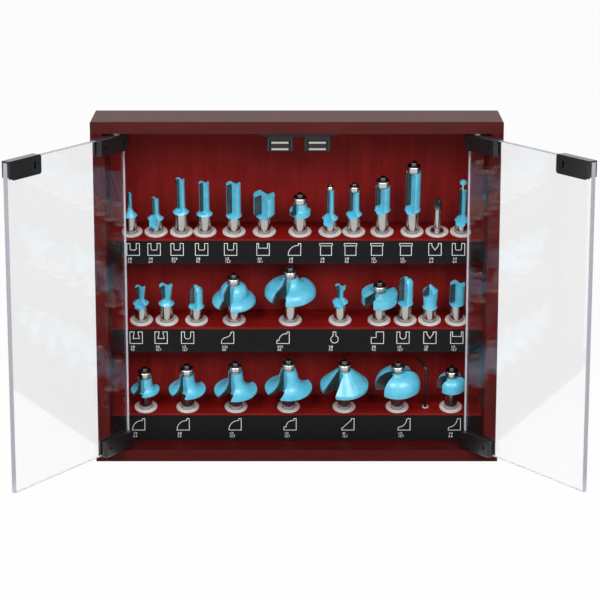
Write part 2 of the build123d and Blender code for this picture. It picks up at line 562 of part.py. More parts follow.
os.makedirs("parts", exist_ok=True)
case_panels()
shelves()
touch_latch()
doors()
pivot_bushings()
write("hex_key", hex_key())
for bit_name, bit_data in BITS.items():
    write(bit_name, *router_bit(bit_data))
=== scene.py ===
from math import atan2, cos, pi, radians, sin, sqrt

import bmesh
import bpy
from mathutils import Matrix, Vector


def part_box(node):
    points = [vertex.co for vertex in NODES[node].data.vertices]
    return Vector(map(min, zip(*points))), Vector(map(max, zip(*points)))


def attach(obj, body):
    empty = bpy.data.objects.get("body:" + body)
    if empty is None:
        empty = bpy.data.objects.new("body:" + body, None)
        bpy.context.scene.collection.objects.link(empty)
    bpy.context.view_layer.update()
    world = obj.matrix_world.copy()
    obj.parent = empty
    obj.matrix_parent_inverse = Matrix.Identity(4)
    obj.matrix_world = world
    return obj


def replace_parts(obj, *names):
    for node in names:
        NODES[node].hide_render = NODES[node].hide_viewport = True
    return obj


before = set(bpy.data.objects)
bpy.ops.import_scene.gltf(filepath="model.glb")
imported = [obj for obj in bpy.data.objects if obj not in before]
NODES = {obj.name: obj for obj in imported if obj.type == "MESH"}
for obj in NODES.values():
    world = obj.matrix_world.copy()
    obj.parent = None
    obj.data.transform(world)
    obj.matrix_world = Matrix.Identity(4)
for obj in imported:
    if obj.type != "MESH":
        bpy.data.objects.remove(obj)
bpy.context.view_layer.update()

# Router bit display cabinet: materials, finer detail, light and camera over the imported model.
# Metres in Blender; the tables below are in millimetres, as in the model's source.
MM = 0.001


# ---------------------------------------------------------------- places shared with the model
CASE_DEPTH, BACK_PANEL, BLOCK_DEPTH = 67.5, 3.0, 31.5
LABEL_Y = CASE_DEPTH / 2 - BACK_PANEL - BLOCK_DEPTH
LABEL_EDGE_GAP = 1.4
SLOPE = radians(19.0)
EDGE_Z = (208.1, 122.2, 37.2)
HOLE_SETBACK = (14.6, 14.0, 12.4)
SHELVES = ("upper", "middle", "lower")
SEAT_DEPTH = 14.0
BORE_R, FLANGE_R, FLANGE_HEIGHT = 6.4, 10.9, 1.0
KEY_X = 123.4

UPPER, MIDDLE, LOWER = 0, 1, 2


def arc(start, end, radius, steps=8):
    """Points after start along an arc to end. A positive radius bulges away from the bit's axis."""
    a, b = Vector(start), Vector(end)
    chord = b - a
    across = Vector((chord.y, -chord.x)).normalized()
    rise = sqrt(max(radius ** 2 - (chord.length / 2) ** 2, 0))
    centre = (a + b) / 2 - across * rise * (1 if radius > 0 else -1)
    first, last = (atan2(p.y - centre.y, p.x - centre.x) for p in (a, b))
    turn = (last - first + pi) % (2 * pi) - pi
    angles = [first + turn * i / steps for i in range(1, steps)]
    reach = abs(radius)
    return [(centre.x + reach * cos(angle), centre.y + reach * sin(angle)) for angle in angles] + [end]


def straight(cutter, tip, flare, cutter_start, collar=15.0):
    return [(collar / 2, flare + 0.6), *arc((collar / 2, flare + 0.6), (cutter / 2, cutter_start), -14.0, 4),
            (cutter / 2, tip)]


def dovetail(cutter, waist, tip, flare):
    return [(7.5, flare + 0.6), *arc((7.5, flare + 0.6), (waist / 2, flare + 5.0), -9.0, 4),
            (cutter / 2, tip - 1.0), (cutter / 2, tip)]


def round_over(width, radius, neck, top, rim_low, rim=2.2):
    edge, shoulder = width / 2, rim_low + rim
    hollow = arc((edge, shoulder), (edge - radius, shoulder + radius), -radius)
    return [(edge - 1.6, rim_low), (edge, rim_low + 1.0), (edge, shoulder), *hollow, (neck, top)]


def cove(width, radius, neck, top, rim_low):
    edge = width / 2
    return [(edge - 1.5, rim_low), (edge, rim_low + 1.5), (edge, top - radius),
            *arc((edge, top - radius), (neck, top), radius)]


# A bearing is (outer diameter, height, collar height).
LARGE, MEDIUM = (12.7, 4.0, 3.2), (12.7, 5.2, 1.2)
NARROW, SMALL = (9.525, 4.2, 1.0), (6.35, 3.2, 0.8)

# name: (row, x, outline of (radius, height), azimuth of a blade's face, gullet floor's distance from the
# axis, heights where the gullets and the blades start, gullet widths at floor and rim, bearing)
BITS = {
    "straight_1_8": (UPPER, -156.9, straight(3.4, 42.6, 17.9, 26.0, 12.8), 230, 0.5, 25.0, 30.0, None, None),
    "straight_1_4": (UPPER, -133.2, straight(6.4, 36.5, 14.5, 19.5), 215, 0.9, 6.0, 19.5, None, None),
    "straight_5_16": (UPPER, -109.1, straight(7.9, 57.3, 21.4, 27.0), 220, 1.1, 23.5, 27.0, None, None),
    "straight_3_8": (UPPER, -86.9, straight(9.6, 53.5, 19.4, 23.0), 235, 1.4, 21.5, 24.0, None, None),
    "straight_1_2": (UPPER, -59.4, straight(13.4, 52.0, 17.5, 20.5), 225, 2.0, 18.5, 22.0, None, None),
    "straight_3_4": (UPPER, -30.7, [(7.0, 17.0), (10.0, 21.0), (10.0, 40.3)], 220, 3.0, 17.5, 21.0,
                     None, None),
    "rounding_1_8": (UPPER, 3.0, round_over(19.6, 3.2, 6.0, 31.8, 18.5, 5.5), 215, 4.2, 17.0, 20.0,
                     (4.0, 7.0), MEDIUM),
    "flush_trim_1_4": (UPPER, 31.4, straight(6.6, 45.7, 14.8, 20.5), 210, 0.9, 9.0, 21.0, None, SMALL),
    "flush_trim_3_8": (UPPER, 53.9, straight(9.5, 44.8, 19.0, 24.0), 215, 1.4, 17.0, 24.0, None, NARROW),
    "flush_trim_1_2": (UPPER, 80.6, straight(13.6, 49.8, 23.5, 30.6), 215, 2.4, 21.5, 30.6, None, MEDIUM),
    "flush_trim_1_2_long": (UPPER, 109.0, straight(13.6, 65.6, 23.5, 30.6), 215, 2.4, 21.5, 30.6,
                            None, MEDIUM),
    "veining": (UPPER, 132.6, [(4.0, 26.0), (3.4, 28.2), (3.4, 33.0), *arc((3.4, 33.0), (0.4, 36.2), 3.3)],
                215, 0.6, 28.2, 28.8, None, None),
    "panel_pilot_1_4": (UPPER, 155.8, straight(6.6, 46.0, 12.5, 19.0, 13.6), 215, 0.9, 9.0, 19.0, None, None),
    "dovetail_3_8": (MIDDLE, -148.2, dovetail(9.6, 6.4, 37.6, 19.2), 225, 1.0, 15.0, 25.0, None, None),
    "dovetail_1_2": (MIDDLE, -123.9, dovetail(12.4, 7.8, 39.3, 18.8), 230, 1.3, 22.0, 26.0, None, None),
    "core_box": (MIDDLE, -95.6, [(7.4, 15.9), (6.1, 18.5), (6.1, 33.0), *arc((6.1, 33.0), (0, 39.1), 6.1)],
                 205, 1.6, 16.0, 20.0, None, None),
    "roman_ogee": (MIDDLE, -59.7, [(19.6, 20.4), (20.8, 21.8), (20.8, 23.0),
                                   *arc((20.8, 23.0), (13.2, 28.5), 9.0),
                                   (13.2, 31.2), *arc((13.2, 31.2), (7.0, 41.0), 10.0)],
                   233, 5.5, 19.0, 21.0, (5.5, 11.5), LARGE),
    "classical_ogee": (MIDDLE, -6.2, [(22.8, 29.0), (24.3, 30.5), (24.3, 33.5),
                                      *arc((24.3, 33.5), (15.5, 40.5), 10.0),
                                      *arc((15.5, 40.5), (7.0, 48.6), -12.0)],
                       231, 5.5, 25.5, 30.0, (5.5, 13.5), LARGE),
    "keyhole": (MIDDLE, 41.2, [(7.5, 21.1), (3.0, 26.0), (3.0, 35.0), (5.0, 35.5), (5.0, 38.7)],
                215, 0.8, 16.5, 26.0, None, None),
    "rabbeting": (MIDDLE, 78.4, [(16.0, 21.0), (17.0, 22.0), (17.0, 31.0), (7.5, 32.4)],
                  221, 5.5, 19.5, 21.5, (5.0, 9.0), LARGE),
    "round_nose": (MIDDLE, 103.3, [(7.2, 19.4), (6.7, 22.0), (6.7, 41.3), *arc((6.7, 41.3), (0, 48.0), 6.7)],
                   205, 1.7, 19.0, 23.0, None, None),
    "v_groove": (MIDDLE, 126.6, [(7.1, 15.2), (6.0, 18.0), (7.0, 29.0), (7.0, 33.6), (0, 40.6)],
                 215, 1.6, 26.0, 29.0, None, None),
    "mortising": (MIDDLE, 152.1, straight(14.0, 41.2, 18.7, 21.0, 14.6), 215, 2.4, 18.0, 22.0, None, None),
    "rounding_1_4": (LOWER, -145.1, round_over(27.0, 6.6, 6.4, 34.5, 18.7), 224, 5.0, 17.5, 19.5,
                     (5.5, 9.0), LARGE),
    "rounding_3_8": (LOWER, -104.9, round_over(35.2, 10.4, 6.4, 38.0, 19.1), 228, 5.5, 18.0, 20.0,
                     (6.0, 13.0), LARGE),
    "rounding_1_2": (LOWER, -58.5, round_over(41.0, 13.5, 6.6, 41.0, 18.6), 222, 5.5, 17.5, 19.5,
                     (6.0, 15.0), LARGE),
    "beading_1_2": (LOWER, -8.0, round_over(45.0, 13.5, 6.8, 43.8, 21.0), 218, 5.5, 20.0, 22.0,
                    (6.0, 14.0), LARGE),
    "chamfer_45": (LOWER, 45.4, [(21.8, 22.5), (23.0, 23.7), (23.0, 27.0), (7.0, 43.0)],
                   216, 5.5, 21.0, 23.5, (6.0, 14.5), LARGE),
    "cove_1_2": (LOWER, 96.4, cove(43.2, 14.2, 7.4, 41.0, 22.2), 195, 5.5, 21.0, 23.5, (6.0, 16.0), LARGE),
    "cove_1_4": (LOWER, 147.9, cove(27.0, 6.6, 6.9, 35.4, 21.6), 185, 5.0, 20.5, 23.0, (6.0, 11.0), LARGE),
}
SHANK_R, SMALL_SHANK_R = 6.35, 3.175
BLADE, BLADE_PROUD, COLLAR_DROP = 1.6, 0.3, 0.6
SCREW_HEAD, SCREW_HEIGHT = 0.46, 0.55     # a bearing's screw head, as shares of its radius
PILOT = ((1.6, 45.5), (1.6, 51.8), (3.3, 52.5), (3.3, 54.6), (1.8, 55.8), (0, 55.9))


def seat(row, x):
    """Matrix of a hole's frame: origin on the block's surface, Z out of the block."""
    normal = Vector((0, -sin(SLOPE), cos(SLOPE)))
    rise = Vector((0, cos(SLOPE), sin(SLOPE)))
    along = HOLE_SETBACK[row]
    place = Vector((x, LABEL_Y, EDGE_Z[row])) + rise * along
    matrix = Matrix((Vector((1, 0, 0)), rise, normal)).transposed().to_4x4()
    matrix.translation = place * MM
    return matrix


# ---------------------------------------------------------------- materials
class Shader:
    """A procedural material built from a few node calls."""

    def __init__(self, name):
        self.material = bpy.data.materials.new(name)
        self.material.use_nodes = True
        self.tree = self.material.node_tree
        self.bsdf = self.tree.nodes["Principled BSDF"]
        self.output = self.tree.nodes["Material Output"]
        self.coords = self.tree.nodes.new("ShaderNodeTexCoord")

    def set(self, **values):
        for key, value in values.items():
            self.bsdf.inputs[key.replace("_", " ")].default_value = value
        return self

    def link(self, source, target):
        self.tree.links.new(source, target)

    def mapped(self, scale, turn=(0, 0, 0)):
        node = self.tree.nodes.new("ShaderNodeMapping")
        node.inputs["Scale"].default_value = scale
        node.inputs["Rotation"].default_value = turn
        self.link(self.coords.outputs["Object"], node.inputs["Vector"])
        return node.outputs["Vector"]

    def noise(self, scale, detail=4.0, stretch=(1, 1, 1), distortion=0.0, roughness=0.55):
        node = self.tree.nodes.new("ShaderNodeTexNoise")
        node.inputs["Scale"].default_value = scale
        node.inputs["Detail"].default_value = detail
        node.inputs["Distortion"].default_value = distortion
        node.inputs["Roughness"].default_value = roughness
        self.link(self.mapped(stretch), node.inputs["Vector"])
        return node.outputs["Fac"]

    def rings(self, scale, direction="Z", distortion=0.4, tilt=0.0):
        """Fine lines across an axis. The bits' axes lean forward by the tilt."""
        node = self.tree.nodes.new("ShaderNodeTexWave")
        node.bands_direction = direction
        node.inputs["Scale"].default_value = scale
        node.inputs["Distortion"].default_value = distortion
        node.inputs["Detail"].default_value = 2.0
        self.link(self.mapped((1, 1, 1), (-tilt, 0, 0)), node.inputs["Vector"])
        return node.outputs["Fac"]

    def ramp(self, value, *stops):
        node = self.tree.nodes.new("ShaderNodeValToRGB")
        ramp = node.color_ramp
        while len(ramp.elements) < len(stops):
            ramp.elements.new(0.5)
        for element, (place, colour) in zip(ramp.elements, stops):
            element.position = place
            element.color = (*colour, 1)
        self.link(value, node.inputs["Fac"])
        return node.outputs["Color"]

    def span(self, value, low, high):
        node = self.tree.nodes.new("ShaderNodeMapRange")
        node.inputs["To Min"].default_value = low
        node.inputs["To Max"].default_value = high
        self.link(value, node.inputs["Value"])
        return node.outputs["Result"]

    def mix(self, factor, a, b):
        node = self.tree.nodes.new("ShaderNodeMix")
        node.data_type = "RGBA"
        self.link(factor, node.inputs["Factor"])
        self.link(a, node.inputs[6])
        self.link(b, node.inputs[7])
        return node.outputs[2]

    def colour(self, value):
        self.link(value, self.bsdf.inputs["Base Color"])
        return self

    def rough(self, value):
        self.link(value, self.bsdf.inputs["Roughness"])
        return self

    def bump(self, value, height, strength=1.0):
        node = self.tree.nodes.new("ShaderNodeBump")
        node.inputs["Distance"].default_value = height
        node.inputs["Strength"].default_value = strength
        self.link(value, node.inputs["Height"])
        self.link(node.outputs["Normal"], self.bsdf.inputs["Normal"])
        return self


def wood(name, stretch, dark, light, sheen=0.08):
    """Stained wood under lacquer, with its grain along the axis that is stretched least."""
    s = Shader(name)
    broad = s.noise(9, 5, stretch, 1.2)
    fine = s.noise(140, 6, stretch, 0.4, 0.7)
    base = s.ramp(broad, (0.32, dark), (0.52, [(a + b) / 2 for a, b in zip(dark, light)]), (0.7, light))
    pores = s.ramp(fine, (0.38, [v * 0.55 for v in dark]), (0.5, light))
    blend = s.span(fine, 0.10, 0.34)
    s.colour(s.mix(blend, base, pores))
    s.rough(s.span(fine, 0.44, 0.56)).bump(fine, 0.00006, 0.5)
    s.set(Specular_IOR_Level=sheen, Coat_Weight=0.02, Coat_Roughness=0.2, Coat_IOR=1.5)
    return s.material


CASE_DARK, CASE_LIGHT = (0.042, 0.0030, 0.0027), (0.070, 0.0050, 0.0045)
INNER_DARK, INNER_LIGHT = (0.122, 0.0038, 0.0033), (0.205, 0.0078, 0.0066)
case_wood_x = wood("case_wood_along_x", (1.2, 16, 16), CASE_DARK, CASE_LIGHT)
top_wood = wood("top_wood_along_x", (1.2, 16, 16), CASE_DARK, CASE_LIGHT, 0.16)
case_wood_z = wood("case_wood_along_z", (16, 16, 1.2), CASE_DARK, CASE_LIGHT)
inner_wood_x = wood("inner_wood_along_x", (1.2, 16, 16), INNER_DARK, INNER_LIGHT)
inner_wood_z = wood("inner_wood_along_z", (16, 16, 1.2), INNER_DARK, INNER_LIGHT)


def film():
    s = Shader("label_film")
    fine = s.noise(900, 3)
    s.colour(s.ramp(fine, (0.35, (0.0065, 0.0065, 0.007)), (0.7, (0.011, 0.011, 0.012))))
    s.rough(s.span(fine, 0.34, 0.46)).set(Specular_IOR_Level=0.06)
    return s.material


def printed():
    s = Shader("label_print")
    fine = s.noise(1500, 3)
    s.colour(s.ramp(fine, (0.3, (0.55, 0.56, 0.56)), (0.6, (0.75, 0.76, 0.76))))
    s.set(Roughness=0.5)
    return s.material


def coating():
    """Blue non-stick coating: even, slightly orange-peeled, a little deeper in patches."""
    s = Shader("blue_coating")
    patch = s.noise(120, 4)
    fine = s.noise(1800, 2)
    s.colour(s.ramp(patch, (0.3, (0.080, 0.43, 0.61)), (0.7, (0.115, 0.52, 0.70))))
    s.rough(s.span(fine, 0.24, 0.36)).bump(fine, 0.00002, 0.35)
    s.set(Specular_IOR_Level=0.5, Coat_Weight=0.35, Coat_Roughness=0.2)
    return s.material


def ground_steel(name, colour, roughness, scale):
    """Turned or ground steel with fine rings across the bit's axis."""
    s = Shader(name)
    lines = s.rings(scale, "Z", 0.6, SLOPE)
    patch = s.noise(60, 3)
    s.colour(s.ramp(patch, (0.3, [v * 0.86 for v in colour]), (0.7, colour)))
    s.rough(s.span(lines, roughness, roughness + 0.06)).bump(lines, 0.000002, 0.25)
    s.set(Metallic=1.0, Anisotropic=0.3)
    return s.material


def carbide():
    s = Shader("carbide")
    lines = s.rings(900, "X", 1.0, SLOPE)
    patch = s.noise(200, 3)
    s.colour(s.ramp(patch, (0.3, (0.085, 0.082, 0.085)), (0.7, (0.13, 0.127, 0.13))))
    s.rough(s.span(lines, 0.30, 0.42)).bump(lines, 0.000003, 0.4)
    s.set(Metallic=0.9)
    return s.material


def dark(name, colour, roughness, metallic=0.0, coat=0.0):
    """Black plastic, oxide or paint with a fine moulded grain."""
    s = Shader(name)
    fine = s.noise(1400, 3)
    patch = s.noise(90, 3)
    s.colour(s.ramp(patch, (0.3, [v * 0.75 for v in colour]), (0.7, colour)))
    s.rough(s.span(fine, roughness, roughness + 0.1)).bump(fine, 0.00001, 0.35)
    s.set(Metallic=metallic, Coat_Weight=coat, Coat_Roughness=0.12, Specular_IOR_Level=0.25)
    return s.material


def milky():
    """Moulded bushing plastic, a little translucent."""
    s = Shader("bushing_plastic")
    patch = s.noise(150, 3)
    s.colour(s.ramp(patch, (0.3, (0.50, 0.46, 0.45)), (0.7, (0.62, 0.575, 0.565))))
    s.rough(s.span(patch, 0.28, 0.36))
    s.set(Subsurface_Weight=0.15, Subsurface_Radius=(0.002, 0.001, 0.001), Subsurface_Scale=1.0)
    return s.material


def glass(name, colour, roughness, rim=False):
    """Clear sheet glass. Light passes through it instead of stopping in a caustic."""
    s = Shader(name)
    smear = s.noise(14, 3, (1, 1, 0.4))
    s.colour(s.ramp(smear, (0.3, colour), (0.7, [min(1, v * 1.012) for v in colour])))
    s.rough(s.span(smear, roughness, roughness + 0.015))
    s.set(Transmission_Weight=0.45 if rim else 1.0, IOR=1.5)
    clear = s.tree.nodes.new("ShaderNodeBsdfTransparent")
    clear.inputs["Color"].default_value = (0.9, 0.9, 0.9, 1) if not rim else (0.6, 0.6, 0.62, 1)
    path = s.tree.nodes.new("ShaderNodeLightPath")
    mixed = s.tree.nodes.new("ShaderNodeMixShader")
    s.link(path.outputs["Is Shadow Ray"], mixed.inputs["Fac"])
    s.link(s.bsdf.outputs["BSDF"], mixed.inputs[1])
    s.link(clear.outputs["BSDF"], mixed.inputs[2])
    s.link(mixed.outputs["Shader"], s.output.inputs["Surface"])
    return s.material


FILM, PRINT, BLUE, CARBIDE, MILKY = film(), printed(), coating(), carbide(), milky()
SHANK_STEEL = ground_steel("shank_steel", (0.50, 0.50, 0.485), 0.16, 420)
BEARING_STEEL = ground_steel("bearing_steel", (0.58, 0.57, 0.55), 0.14, 200)
COLLAR_STEEL = ground_steel("collar_steel", (0.36, 0.35, 0.34), 0.26, 300)
SHIELD_STEEL = ground_steel("bearing_shield_steel", (0.15, 0.145, 0.14), 0.26, 250)
BRIGHT_STEEL = ground_steel("plated_steel", (0.55, 0.54, 0.52), 0.24, 150)
BARE_CUTTER = ground_steel("bare_cutter_steel", (0.16, 0.16, 0.165), 0.32, 500)
OXIDE = dark("black_oxide", (0.022, 0.021, 0.022), 0.30, 0.6)
TOOL_STEEL = dark("key_steel", (0.045, 0.040, 0.038), 0.28, 0.9)
LATCH_PLASTIC = dark("latch_plastic", (0.012, 0.012, 0.013), 0.34, coat=0.15)
BLACK_METAL = dark("black_metal", (0.010, 0.010, 0.011), 0.24, coat=0.35)
PANE = glass("pane_glass", (0.955, 0.957, 0.962), 0.0)
PANE_EDGE = glass("pane_edge", (0.60, 0.60, 0.68), 0.25, rim=True)


# ---------------------------------------------------------------- mesh helpers
def add(name, bm, materials, body, at=None, smooth=35, bevel=0.0):
    """New object from a bmesh, on a body. A bevel width is in millimetres."""
    mesh = bpy.data.meshes.new(name)
    bm.to_mesh(mesh)
    bm.free()
    obj = bpy.data.objects.new(name, mesh)
    bpy.context.scene.collection.objects.link(obj)
    for material in materials:
        mesh.materials.append(material)
    if smooth:
        mesh.shade_smooth()
        mesh.set_sharp_from_angle(angle=radians(smooth))
    if bevel:
        edge = obj.modifiers.new("edge", "BEVEL")
        edge.width = bevel * MM
        edge.segments = 2
        edge.limit_method = "ANGLE"
        edge.angle_limit = radians(38)
        edge.harden_normals = True
    if at is not None:
        mesh.transform(at)
    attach(obj, body)
    return obj


def cad_copy(name):
    """The node's mesh as one welded bmesh, in the scene's frame."""
    bm = bmesh.new()
    bm.from_mesh(NODES[name].data)
    bmesh.ops.remove_doubles(bm, verts=bm.verts, dist=2e-6)
    return bm


def islands(bm):
    """Lists of the faces that hang together."""
    left, groups = set(bm.faces), []
    while left:
        stack, group = [left.pop()], []
        while stack:
            face = stack.pop()
            group.append(face)
            for edge in face.edges:
                for other in edge.link_faces:
                    if other in left:
                        left.remove(other)
                        stack.append(other)
        groups.append(group)
    return groups


def lathe(bm, points, segments=48, material=0, centre=(0, 0)):
    """Surface of revolution about Z through (radius, height) points, in millimetres."""
    loops = []
    for radius, height in points:
        if radius == 0:
            loops.append([bm.verts.new((centre[0] * MM, centre[1] * MM, height * MM))])
            continue
        loops.append([bm.verts.new(((centre[0] + radius * cos(2 * pi * i / segments)) * MM,
                                    (centre[1] + radius * sin(2 * pi * i / segments)) * MM, height * MM))
                      for i in range(segments)])
    for low, high in zip(loops, loops[1:]):
        for i in range(segments):
            j = (i + 1) % segments
            if len(low) == 1 and len(high) == 1:
                continue
            if len(low) == 1:
                face = bm.faces.new((low[0], high[i], high[j]))
            elif len(high) == 1:
                face = bm.faces.new((low[i], low[j], high[0]))
            else:
                face = bm.faces.new((low[i], low[j], high[j], high[i]))
            face.material_index = material
    return loops


def dress(name, material, bevel=0.0):
    """A CAD node that stays as it is, with a better material and softened edges."""
    obj = NODES[name]
    obj.data.materials.clear()
    obj.data.materials.append(material)
    if bevel:
        obj.modifiers.new("weld", "WELD").merge_threshold = 2e-6
        edge = obj.modifiers.new("edge", "BEVEL")
        edge.width = bevel * MM
        edge.segments = 2
        edge.limit_method = "ANGLE"
        edge.angle_limit = radians(38)
        edge.harden_normals = True


# ---------------------------------------------------------------- case
dress("top_panel", top_wood)
dress("bottom_panel", case_wood_x)
for node in ("left_side", "right_side"):
    dress(node, case_wood_z)
for node in ("upper_shelf", "middle_shelf", "lower_shelf"):
    dress(node, inner_wood_x)
dress("back_panel", inner_wood_z)
for node in ("upper_label", "middle_label", "lower_label"):
    dress(node, FILM)
for node in ("left_top_hinge", "left_bottom_hinge", "right_top_hinge", "right_bottom_hinge"):
    dress(node, BLACK_METAL)
for node in ("left_strike", "right_strike"):
    dress(node, BLACK_METAL, 0.25)
for node in ("left_set_screws", "right_set_screws"):
    dress(node, OXIDE)
dress("catch_housing", LATCH_PLASTIC, 0.3)
dress("catch_screws", BRIGHT_STEEL)
dress("pivot_bushings", BRIGHT_STEEL)
dress("hex_key", TOOL_STEEL)
dress("reducer", SHANK_STEEL)


# ---------------------------------------------------------------- bushings
def bushings():
    """Round flanged rings with a rolled lip, in place of the model's many-sided ones."""
    bm = bmesh.new()
    spare = bmesh.new()
    for row, x, *_ in BITS.values():
        spare.clear()
        r, h = FLANGE_R, FLANGE_HEIGHT
        lathe(spare, [(BORE_R + 0.15, 0.0), (BORE_R + 0.15, h - 0.25), (BORE_R + 0.45, h), (r - 0.55, h),
                      (r - 0.15, h - 0.18), (r, h - 0.5), (r, 0.0)], 64)
        spare.transform(seat(row, x))
        part = bpy.data.meshes.new("part")
        spare.to_mesh(part)
        bm.from_mesh(part)
        bpy.data.meshes.remove(part)
    spare.free()
    bmesh.ops.recalc_face_normals(bm, faces=bm.faces)
    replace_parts(add("bushing_rings", bm, [MILKY], "cabinet"), "shank_bushings")
    bm = bmesh.new()
    lathe(bm, [(1.8, 0.0), (1.8, 0.6), (2.0, 0.8), (2.8, 0.8), (3.1, 0.55), (3.1, 0.0)], 40)
    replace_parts(add("key_bushing", bm, [MILKY], "cabinet", seat(LOWER, KEY_X)), "key_ring")


bushings()


# ---------------------------------------------------------------- router bits
def bearing(name, top, size, at, body):
    """Collar, ball bearing with its shield, and the socket cap screw that holds them."""
    width, height, collar = size
    r = width / 2
    low = top + collar
    high = low + height
    screw, tall = r * SCREW_HEAD, r * SCREW_HEIGHT
    socket = screw * 0.55
    bm = bmesh.new()
    collar_side = [(r - 0.4, top - 0.05), (r - 0.4, low - 0.5), (r - 0.9, low - 0.25), (r - 0.9, low)]
    race = [(r - 0.9, low), (r - 0.25, low), (r, low + 0.25), (r, high - 0.3), (r - 0.3, high), (r - 0.7, high)]
    shield = [(r - 0.7, high), (r - 0.8, high - 0.12), (screw + 0.5, high - 0.12), (screw + 0.3, high)]
    for index, side in enumerate((collar_side, race, shield)):
        lathe(bm, side, material=index)
    lathe(bm, [(screw + 0.3, high), (screw, high), (screw, high + tall - 0.3), (screw - 0.25, high + tall),
               (socket, high + tall)], 32, material=2)
    lathe(bm, [(socket, high + tall), (socket * 0.95, high + 0.3), (0, high + 0.2)], 6, material=2)
    return add(name + "_bearing", bm, [COLLAR_STEEL, BEARING_STEEL, SHIELD_STEEL], body, at, 40)


def half_section(outline, shift):
    """Closed (radius, height) loop between the axis and an outline whose rim is moved outwards."""
    rim = [(radius + shift if radius > 0 else 0, height) for radius, height in outline]
    return [(0, outline[0][1]), *rim, *([] if rim[-1][0] == 0 else [(0, rim[-1][1])])]


def clipped(loop, left, low):
    """Part of a loop right of x = left and above y = low."""
    for axis, limit in ((0, left), (1, low)):
        kept = []
        for a, b in zip(loop, [*loop[1:], loop[0]]):
            inside_a, inside_b = a[axis] >= limit, b[axis] >= limit
            if inside_a:
                kept.append(a)
            if inside_a != inside_b:
                t = (limit - a[axis]) / (b[axis] - a[axis])
                kept.append((a[0] + (b[0] - a[0]) * t, a[1] + (b[1] - a[1]) * t))
        loop = kept
    return loop


def slab(bm, loop, y0, y1, turn, material):
    """Plate with a flat outline in a bit's X and Z, between two Y values, turned about the bit's axis."""
    spin = Matrix.Rotation(radians(turn), 4, "Z")
    sides = [[bm.verts.new(spin @ Vector((x * MM, y * MM, z * MM))) for x, z in loop] for y in (y0, y1)]
    faces = [bm.faces.new(sides[0]), bm.faces.new(list(reversed(sides[1])))]
    for i in range(len(loop)):
        j = (i + 1) % len(loop)
        faces.append(bm.faces.new((sides[0][j], sides[0][i], sides[1][i], sides[1][j])))
    for face in faces:
        face.material_index = material
    bmesh.ops.recalc_face_normals(bm, faces=faces)


def gullets(core, flute, widths, rim, top, face):
    """Cutter for the two gullets, with a rounded run-out at the lower end."""
    bm = bmesh.new()
    inner, outer = widths or (rim, rim)
    run = min(2.5, max(rim - core, 0.5) * 0.35)
    for turn in (face, face + 180):
        spin = Matrix.Rotation(radians(turn), 4, "Z")
        rings = []
        depth = run if widths is None else run * 0.6
        turns = [pi / 2 * i / 6 for i in range(7)]
        heights = [(flute + run * (1 - cos(a)), core + depth * (1 - sin(a))) for a in turns]
        heights.append((top + 1.0, core))
        for height, floor in heights:
            corners = ((floor, -BLADE), (rim, -BLADE), (rim, outer), (floor, inner))
            rings.append([bm.verts.new(spin @ Vector((x * MM, y * MM, height * MM))) for x, y in corners])
        bm.faces.new(list(reversed(rings[0])))
        bm.faces.new(rings[-1])
        for low, high in zip(rings, rings[1:]):
            for i in range(4):
                j = (i + 1) % 4
                bm.faces.new((low[i], low[j], high[j], high[i]))
    bmesh.ops.recalc_face_normals(bm, faces=bm.faces)
    return bm


def solid_object(name, bm):
    mesh = bpy.data.meshes.new(name)
    bm.to_mesh(mesh)
    bm.free()
    obj = bpy.data.objects.new(name, mesh)
    bpy.context.scene.collection.objects.link(obj)
    return obj


def router_bit(name, row, x, outline, face, core, flute, blade_start, widths, size):
    """Turned steel and coated body with two gullets, carbide blades, and a bearing where the bit has one."""
    at = seat(row, x)
    shank = SMALL_SHANK_R if name == "veining" else SHANK_R
    coat = outline[0][1] - COLLAR_DROP
    top = outline[-1][1]
    rim = max(point[0] for point in outline) + BLADE_PROUD + 1.0
    profile = [(0, -SEAT_DEPTH), (shank - 0.5, -SEAT_DEPTH), (shank, -SEAT_DEPTH + 0.5), (shank, coat)]
    profile += outline
    if outline[-1][0] > 0:
        profile.append((0, top))
    bm = bmesh.new()
    lathe(bm, profile, 72)
    bmesh.ops.recalc_face_normals(bm, faces=bm.faces)
    body = solid_object("body", bm)
    cutter = solid_object("cutter", gullets(core, flute, widths, rim, top, face))
    cut = body.modifiers.new("gullets", "BOOLEAN")
    cut.object = cutter
    cut.solver = "EXACT"
    bpy.context.view_layer.update()
    cut_mesh = bpy.data.meshes.new_from_object(body.evaluated_get(bpy.context.evaluated_depsgraph_get()))
    bm = bmesh.new()
    bm.from_mesh(cut_mesh)
    for extra in (body, cutter):
        mesh = extra.data
        bpy.data.objects.remove(extra)
        bpy.data.meshes.remove(mesh)
    bpy.data.meshes.remove(cut_mesh)
    bmesh.ops.remove_doubles(bm, verts=bm.verts, dist=2e-6)
    geometry = [*bm.verts, *bm.edges, *bm.faces]
    above_steel = (0, 0, (coat + 0.01) * MM)
    bmesh.ops.bisect_plane(bm, geom=geometry, plane_co=above_steel, plane_no=(0, 0, 1))
    bare = name == "veining"
    for f in bm.faces:
        centre = f.calc_center_median()
        in_gullet = centre.z > flute * MM and centre.xy.length < (shank - 0.25) * MM
        f.material_index = (3 if bare else 1) if centre.z > coat * MM or in_gullet else 0
    loop = clipped(half_section(outline, BLADE_PROUD), core, blade_start)
    for turn in (face, face + 180):
        slab(bm, loop, -BLADE, 0, turn, 3 if bare else 2)
    if name == "panel_pilot_1_4":
        lathe(bm, PILOT[:3], 32, 0)
        lathe(bm, PILOT[2:], 32, 1)
    obj = add(name + "_cutter", bm, [SHANK_STEEL, BLUE, CARBIDE, BARE_CUTTER], name, at, 32, 0.12)
    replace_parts(obj, name)
    if size:
        bearing(name, top, size, at, name)


for bit_name, bit_data in BITS.items():
    router_bit(bit_name, *bit_data)


